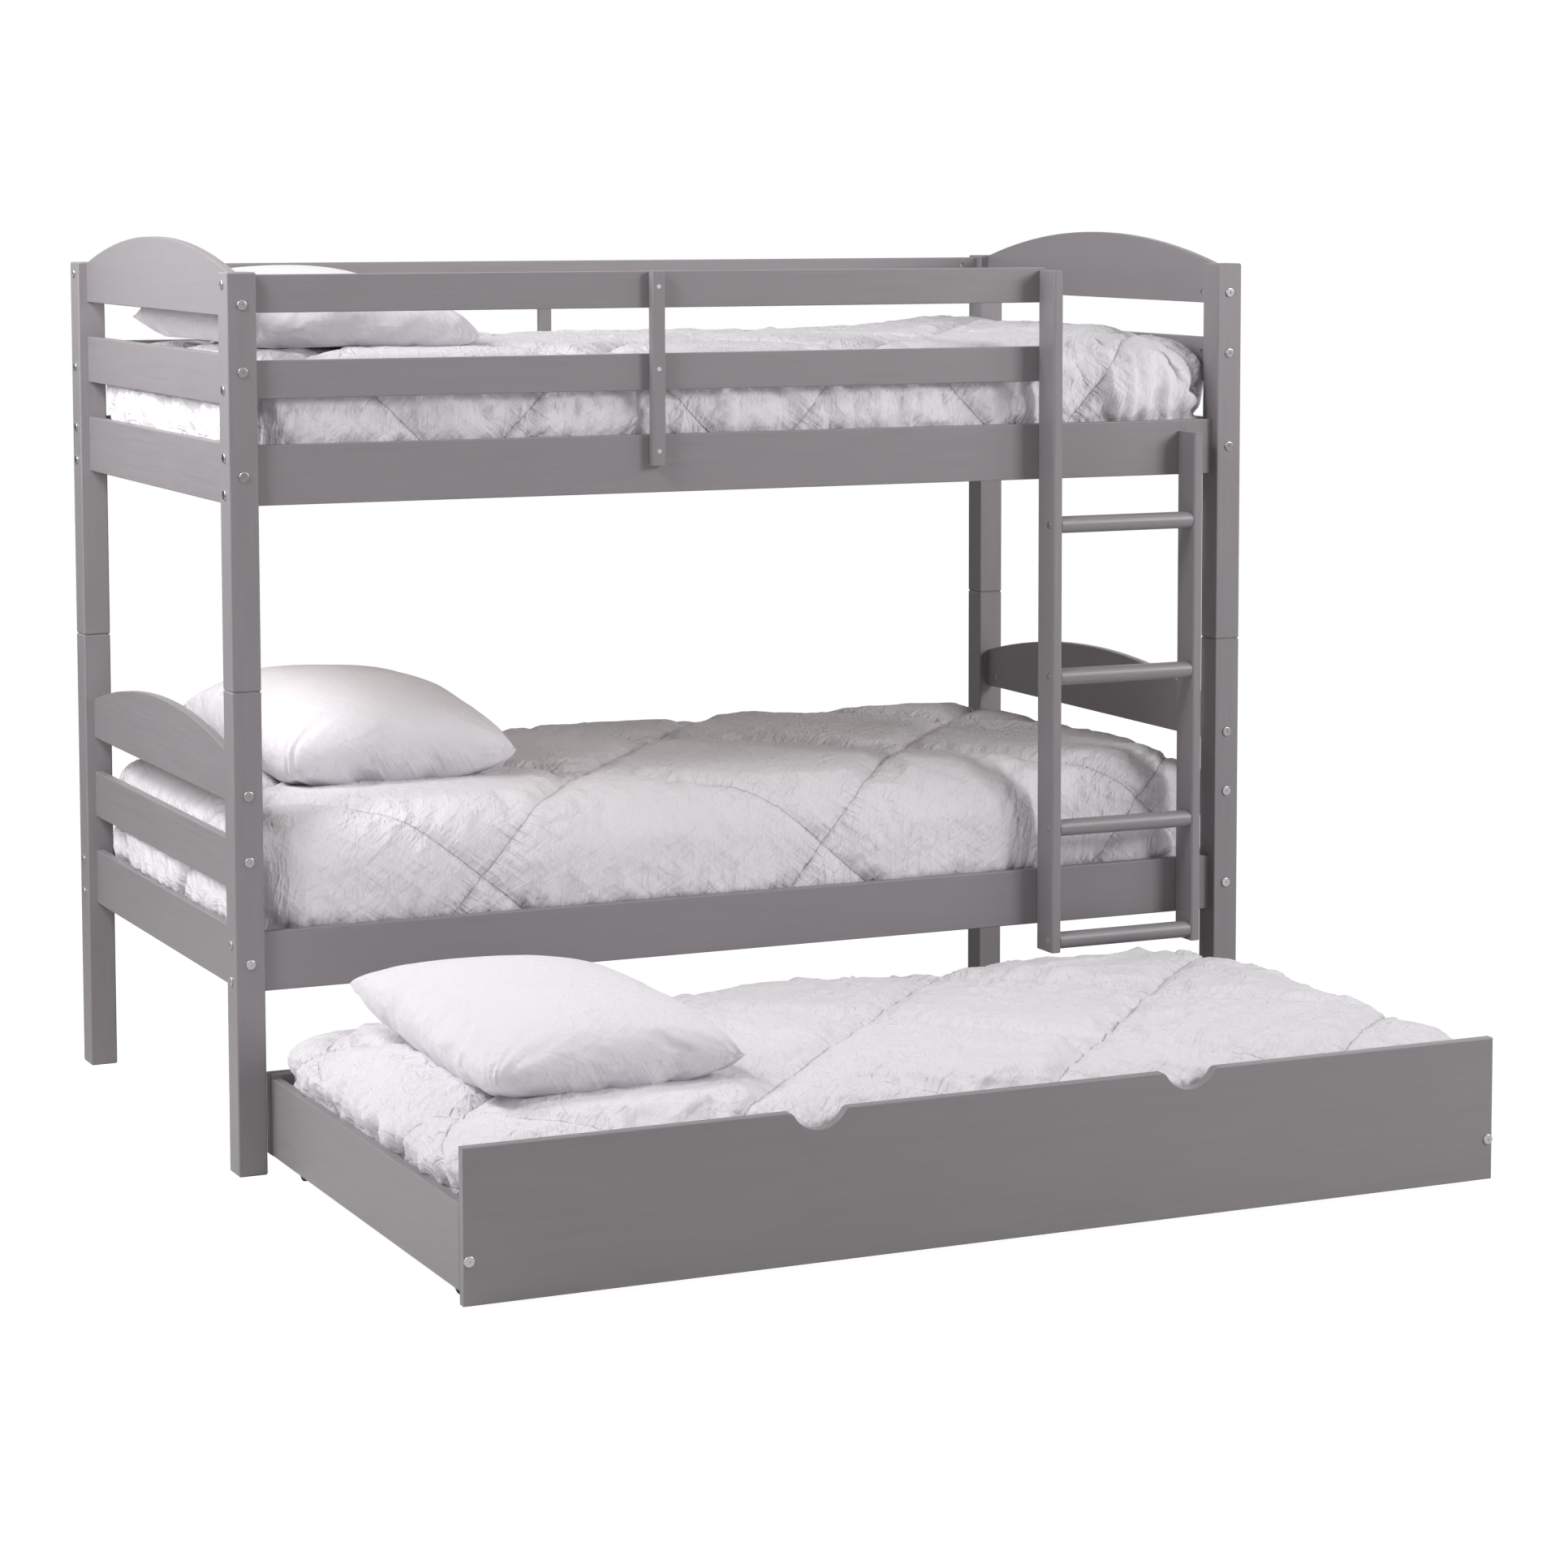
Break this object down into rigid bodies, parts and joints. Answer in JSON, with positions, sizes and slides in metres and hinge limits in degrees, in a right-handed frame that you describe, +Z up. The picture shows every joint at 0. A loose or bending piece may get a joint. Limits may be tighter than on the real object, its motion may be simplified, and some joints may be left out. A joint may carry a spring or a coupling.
{
  "type": "bunk bed with trundle",
  "caption": "Grey painted wooden bunk bed with arched ends, guard rails, a bolted ladder, quilted bedding and a roll-out trundle bed on casters.",
  "frame": {"origin": "on the floor under the middle of the whole, with the trundle pulled out", "axes": "+X along the bed towards its right end, seen from the front; +Y from the front to the back, and the trundle rolls out towards -Y; +Z up"},
  "size_m": [2.0126, 2.056, 1.631],
  "materials": {
    "grey_painted_wood": "satin warm grey paint over wood, faint grain under it, softly rounded edges",
    "natural_slat_wood": "bare planed pine slats, hidden under the mattresses",
    "bright_bolt_steel": "bright plated bolt heads with hex sockets",
    "zinc_steel": "zinc plated hardware",
    "black_wheel_plastic": "matte black moulded caster wheels",
    "quilted_cover": "soft white quilted comforter with stitched diamonds",
    "pillow_case": "smooth white cotton pillow case"
  },
  "bodies": {
    "bed_frame": {"frame_barrel_nuts": "zinc_steel", "frame_bolts": "bright_bolt_steel", "frame_screws": "zinc_steel", "guard_brace_back": "grey_painted_wood", "guard_brace_front": "grey_painted_wood", "guard_rail_mid_back": "grey_painted_wood", "guard_rail_mid_front": "grey_painted_wood", "guard_rail_top_back": "grey_painted_wood", "guard_rail_top_front": "grey_painted_wood", "ladder_bolts": "bright_bolt_steel", "ladder_fixing_bolts": "bright_bolt_steel", "ladder_rungs": "grey_painted_wood", "ladder_stile_left": "grey_painted_wood", "ladder_stile_right": "grey_painted_wood", "lower_arch_panel_left": "grey_painted_wood", "lower_arch_panel_right": "grey_painted_wood", "lower_bed_slats": "natural_slat_wood", "lower_cleats": "grey_painted_wood", "lower_end_rails": "grey_painted_wood", "lower_end_slats": "grey_painted_wood", "lower_mattress": "quilted_cover", "lower_pillow": "pillow_case", "lower_post_back_left": "grey_painted_wood", "lower_post_back_right": "grey_painted_wood", "lower_post_front_left": "grey_painted_wood", "lower_post_front_right": "grey_painted_wood", "lower_side_rail_back": "grey_painted_wood", "lower_side_rail_front": "grey_painted_wood", "post_dowel_pins": "zinc_steel", "upper_arch_panel_left": "grey_painted_wood", "upper_arch_panel_right": "grey_painted_wood", "upper_bed_slats": "natural_slat_wood", "upper_cleats": "grey_painted_wood", "upper_end_rails": "grey_painted_wood", "upper_end_slats": "grey_painted_wood", "upper_mattress": "quilted_cover", "upper_pillow": "pillow_case", "upper_post_back_left": "grey_painted_wood", "upper_post_back_right": "grey_painted_wood", "upper_post_front_left": "grey_painted_wood", "upper_post_front_right": "grey_painted_wood", "upper_side_rail_back": "grey_painted_wood", "upper_side_rail_front": "grey_painted_wood"},
    "trundle": {"caster_axles": "zinc_steel", "caster_forks": "zinc_steel", "trundle_back_rail": "grey_painted_wood", "trundle_barrel_nuts": "zinc_steel", "trundle_bolts": "bright_bolt_steel", "trundle_cleats": "grey_painted_wood", "trundle_end_panel_left": "grey_painted_wood", "trundle_end_panel_right": "grey_painted_wood", "trundle_front_panel": "grey_painted_wood", "trundle_mattress": "quilted_cover", "trundle_pillow": "pillow_case", "trundle_screws": "zinc_steel", "trundle_slats": "natural_slat_wood"},
    "wheel_back_left": {"caster_wheel_back_left": "black_wheel_plastic"},
    "wheel_back_right": {"caster_wheel_back_right": "black_wheel_plastic"},
    "wheel_front_left": {"caster_wheel_front_left": "black_wheel_plastic"},
    "wheel_front_right": {"caster_wheel_front_right": "black_wheel_plastic"}
  },
  "joints": [
    {"name": "trundle_slide", "type": "slide", "parent": "bed_frame", "child": "trundle", "axis": [0, 1, 0], "range_m": [0, 1.002], "deforming": ["trundle_pillow"]},
    {"name": "wheel_back_left_spin", "type": "hinge", "parent": "trundle", "child": "wheel_back_left", "pos_m": [-0.902, -0.11125, 0.02], "axis": [1, 0, 0], "continuous": true},
    {"name": "wheel_back_right_spin", "type": "hinge", "parent": "trundle", "child": "wheel_back_right", "pos_m": [0.902, -0.11125, 0.02], "axis": [1, 0, 0], "continuous": true},
    {"name": "wheel_front_left_spin", "type": "hinge", "parent": "trundle", "child": "wheel_front_left", "pos_m": [-0.902, -0.91525, 0.02], "axis": [1, 0, 0], "continuous": true},
    {"name": "wheel_front_right_spin", "type": "hinge", "parent": "trundle", "child": "wheel_front_right", "pos_m": [0.902, -0.91525, 0.02], "axis": [1, 0, 0], "continuous": true}
  ],
  "couplings": [
    {"joint": "wheel_back_left_spin", "follows": "trundle_slide", "rad_per_m": -50},
    {"joint": "wheel_back_right_spin", "follows": "trundle_slide", "rad_per_m": -50},
    {"joint": "wheel_front_left_spin", "follows": "trundle_slide", "rad_per_m": -50},
    {"joint": "wheel_front_right_spin", "follows": "trundle_slide", "rad_per_m": -50}
  ]
}
